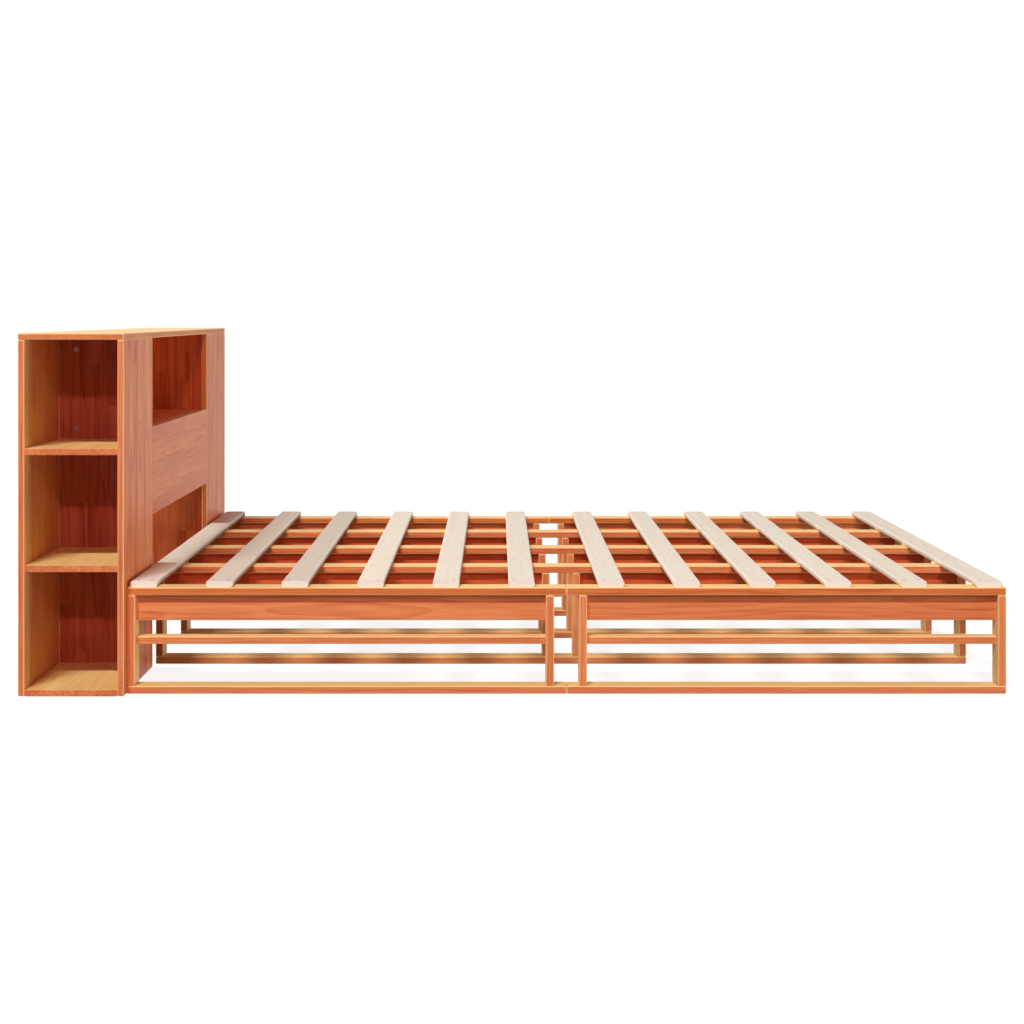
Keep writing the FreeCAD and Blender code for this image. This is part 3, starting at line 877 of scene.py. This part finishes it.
# %% Steel
SPECKLE_SCALE, SPECKLE_DETAIL = 420.0, 3.0
STEEL_ROUGHNESS, SPECKLE_ROUGHNESS = 0.25, 0.25


def steel_finish(name, dark, pale, metallic, specular):
    """Steel with fine speckles between a dark and a pale tone."""
    made = bpy.data.materials.new(name)
    made.use_nodes = True
    tree = made.node_tree
    surface = tree.nodes["Principled BSDF"].inputs
    where = place(tree, "ShaderNodeTexCoord").outputs["Object"]
    feeds = {"Vector": where, "Scale": SPECKLE_SCALE, "Detail": SPECKLE_DETAIL}
    speckle = fed(tree, "ShaderNodeTexNoise", feeds)
    rough = number(tree, "MULTIPLY_ADD", speckle, SPECKLE_ROUGHNESS, STEEL_ROUGHNESS)
    tree.links.new(mixed(tree, speckle, dark, pale), surface["Base Color"])
    tree.links.new(rough, surface["Roughness"])
    surface["Metallic"].default_value = metallic
    surface["Specular IOR Level"].default_value = specular
    return made


zinc_steel = steel_finish("zinc_steel", colour("8F8C86"), colour("C9C6BE"), metallic=1.0, specular=0.5)
dull_steel = steel_finish("dull_steel", colour("2E2C2A"), colour("4A4846"), metallic=0.0, specular=0.0)
browned_steel = steel_finish("browned_steel", colour("7C5650"), colour("A67C74"), metallic=1.0, specular=0.5)
print("steel:", len(zinc_steel.node_tree.nodes), "nodes")

# %% [markdown]
# ## Dowels, and a finish for each node
#
# The dowels are turned from plain beech and hidden in the joints. They could stay as they came from CAD, but
# the bed can be taken apart, and then they show. Beech is finer than pine, and at this size its grain is only
# a change of tone, so the pine recipe serves with other tones and no painted edge highlight.

# %% Beech, and the finish of each kind of hardware
BEECH_TONES = (colour("DDBE94"), colour("C49E70"))
BEECH_ROUGHNESS, BEECH_SPECULAR = 0.45, 0.1
UNTURNED = (0.0, 0.0, 0.0)
TRUNK_START = (0.0, 0.0, 0.0)
beech = pine("beech", BEECH_TONES, BEECH_TONES, BEECH_TONES[0], 0.0, BEECH_ROUGHNESS, BEECH_SPECULAR,
             turned=(UNTURNED, TRUNK_START, ONE_STRIP))
HARDWARE = {
    "slat_screws": dull_steel, "plate_screws": zinc_steel, "joining_plates": zinc_steel,
    "headboard_bolts": zinc_steel, "headboard_inserts": zinc_steel, "niche_screws": browned_steel,
    "dowels": beech,
}
for node, finish in HARDWARE.items():
    finish_cad(node, finish)
print("hardware nodes:", len(HARDWARE))

# %% [markdown]
# ## A white floor
#
# The bed stands in a white studio. More light on a grey floor could make it white, but would bleach the wood
# as well. So the floor glows a little for the camera and for reflections only, and the lamps add the rest,
# which leaves a pale shadow where the bed keeps their light away. Far from the bed the glow alone is white.

# %% Floor material
WHITE = (1.0, 1.0, 1.0, 1.0)
FLOOR_GREY = (0.3, 0.3, 0.3, 1.0)
FLOOR_GLOW = 0.86
FLOOR_NEAR, FLOOR_FAR = 1.6, 6.0


def seen_directly(tree):
    """1 for the camera and for what reflections show, 0 for light that bounces."""
    path = place(tree, "ShaderNodeLightPath").outputs
    seen = number(tree, "MAXIMUM", path["Is Camera Ray"], path["Is Glossy Ray"])
    return number(tree, "MAXIMUM", seen, path["Is Transmission Ray"])


def white_floor():
    made = bpy.data.materials.new("white_floor")
    made.use_nodes = True
    tree = made.node_tree
    tree.nodes.clear()
    matt = fed(tree, "ShaderNodeBsdfDiffuse", {"Color": FLOOR_GREY})
    where = place(tree, "ShaderNodeTexCoord").outputs["Object"]
    far = ramped(tree, vector(tree, "LENGTH", where), FLOOR_NEAR, FLOOR_FAR)
    strength = number(tree, "MULTIPLY_ADD", far, 1.0 - FLOOR_GLOW, FLOOR_GLOW)
    glow = fed(tree, "ShaderNodeEmission", {"Color": WHITE, "Strength": strength})
    lit = fed(tree, "ShaderNodeAddShader", {0: matt, 1: glow})
    shown = fed(tree, "ShaderNodeMixShader", {0: seen_directly(tree), 1: matt, 2: lit})
    place(tree, "ShaderNodeOutputMaterial", {"Surface": shown})
    return made


floor_finish = white_floor()
print("white floor:", len(floor_finish.node_tree.nodes), "nodes")

# %% [markdown]
# ## The floor's sheet
#
# The floor is one flat sheet that reaches far past the picture. A real studio has a curved backdrop, which
# could be modelled, but here floor and background are both white in the distance, so no edge shows between
# them. The sheet belongs to the stage and not to the bed.

# %% Floor
FLOOR_HALF = 30.0
CORNERS = ((-1, -1), (1, -1), (1, 1), (-1, 1))

floor_mesh = bpy.data.meshes.new("floor")
floor_mesh.from_pydata([(x * FLOOR_HALF, y * FLOOR_HALF, 0.0) for x, y in CORNERS], [], [(0, 1, 2, 3)])
floor_mesh.materials.append(floor_finish)
floor = bpy.data.objects.new("floor", floor_mesh)
scene.collection.objects.link(floor)
print("floor", FLOOR_HALF * 2, "m wide")

# %% [markdown]
# ## A warm fill
#
# Light that has bounced between the boards of the bed is warm, and it fills the shadows a little. More
# bounces could be rendered, but a faint warm light from all round does the same at once. The camera and
# reflections see white air instead, just as they see a white floor.

# %% World
WORLD_FILL = 0.06
FILL_COLOUR = (1.0, 0.72, 0.5, 1.0)

world = bpy.data.worlds.new("white_studio")
world.use_nodes = True
scene.world = world
tree = world.node_tree
air = tree.nodes["Background"].inputs
seen = seen_directly(tree)
tree.links.new(mixed(tree, seen, FILL_COLOUR, WHITE), air["Color"])
tree.links.new(number(tree, "MULTIPLY_ADD", seen, 1.0 - WORLD_FILL, WORLD_FILL), air["Strength"])
print("even fill of", WORLD_FILL)

# %% [markdown]
# ## Five lamps
#
# The shadows in the photograph tell where its lamps stood. One big dome of light would be simpler, but sharp
# dark bands lie under the top rails and shelves, and only a thin lamp high up in front draws those. It is a
# strip, because the shadows of upright edges are soft. A weak, warm lamp lower in front reaches into the
# cubbies, one near the floor at the foot end lights the headboard's face, and one high behind the headboard
# lights the slats. A narrow strip shines through the gap in the headboard onto the first slat.

# %% Lamps
UNTINTED = (1.0, 1.0, 1.0)
WARM = (1.0, 0.58, 0.65)
OPEN_FAN, NARROW_FAN = 180.0, 12.0
# Where each lamp stands, what it is aimed at, its width and height in metres, watts, fan and tint
LAMPS = {
    "key_strip": ((-5.4, -14.9, 18.0), (-5.4, -0.3, 0.3), (7.0, 1.0), 4275.0, OPEN_FAN, UNTINTED),
    "low_softbox": ((0.8, -10.6, 5.4), (0.0, -0.6, 0.3), (0.6, 0.4), 240.0, OPEN_FAN, WARM),
    "foot_softbox": ((7.4, -1.7, 0.55), (-0.9, 0.0, 0.55), (3.0, 0.5), 222.0, OPEN_FAN, UNTINTED),
    "head_softbox": ((-8.0, 0.0, 9.8), (0.0, 0.0, 0.25), (1.0, 1.0), 520.0, OPEN_FAN, UNTINTED),
    "gap_strip": ((-2.2, 0.0, 1.4), (-0.84, 0.0, 0.256), (0.84, 0.1), 0.3, NARROW_FAN, UNTINTED),
}


def softbox(name, position, target, size, watts, fan, tint):
    """An area lamp aimed at a target. A grid on a real softbox narrows the fan of its light, in degrees."""
    lamp = bpy.data.lights.new(name, "AREA")
    lamp.shape = "RECTANGLE"
    lamp.size, lamp.size_y = size
    lamp.energy, lamp.color = watts, tint
    lamp.spread = math.radians(fan)
    holder = bpy.data.objects.new(name, lamp)
    holder.location = position
    holder.rotation_euler = (Vector(target) - Vector(position)).to_track_quat("-Z", "Y").to_euler()
    scene.collection.objects.link(holder)


for name, facts in LAMPS.items():
    softbox(name, *facts)
print("lamps:", ", ".join(LAMPS))

# %% [markdown]
# ## Camera
#
# The photograph was taken level, from the side of the bed, with the lens a little above the headboard. The
# camera could be tilted down to the bed, but then upright boards would lean in the picture. Its verticals
# are upright, so the camera looks straight along +Y and the frame is shifted down to the bed.

# %% Camera
IMAGE_SIZE = 1024
LENS_POINT = (496.8, 313.8)
LENS_PLACE = (-0.0384, -4.6426, 0.8638)
SENSOR_WIDTH, FOCAL_LENGTH = 36.0, 61.0
LEVEL = (math.pi / 2, 0.0, 0.0)

lens = bpy.data.cameras.new("side_view")
lens.sensor_width, lens.lens = SENSOR_WIDTH, FOCAL_LENGTH
lens.shift_x = 0.5 - LENS_POINT[0] / IMAGE_SIZE
lens.shift_y = LENS_POINT[1] / IMAGE_SIZE - 0.5
camera = bpy.data.objects.new("side_view", lens)
camera.location = LENS_PLACE
camera.rotation_euler = LEVEL
scene.collection.objects.link(camera)
scene.camera = camera
scene.view_settings.view_transform = "Standard"
print("camera at", LENS_PLACE, "with", FOCAL_LENGTH, "mm")
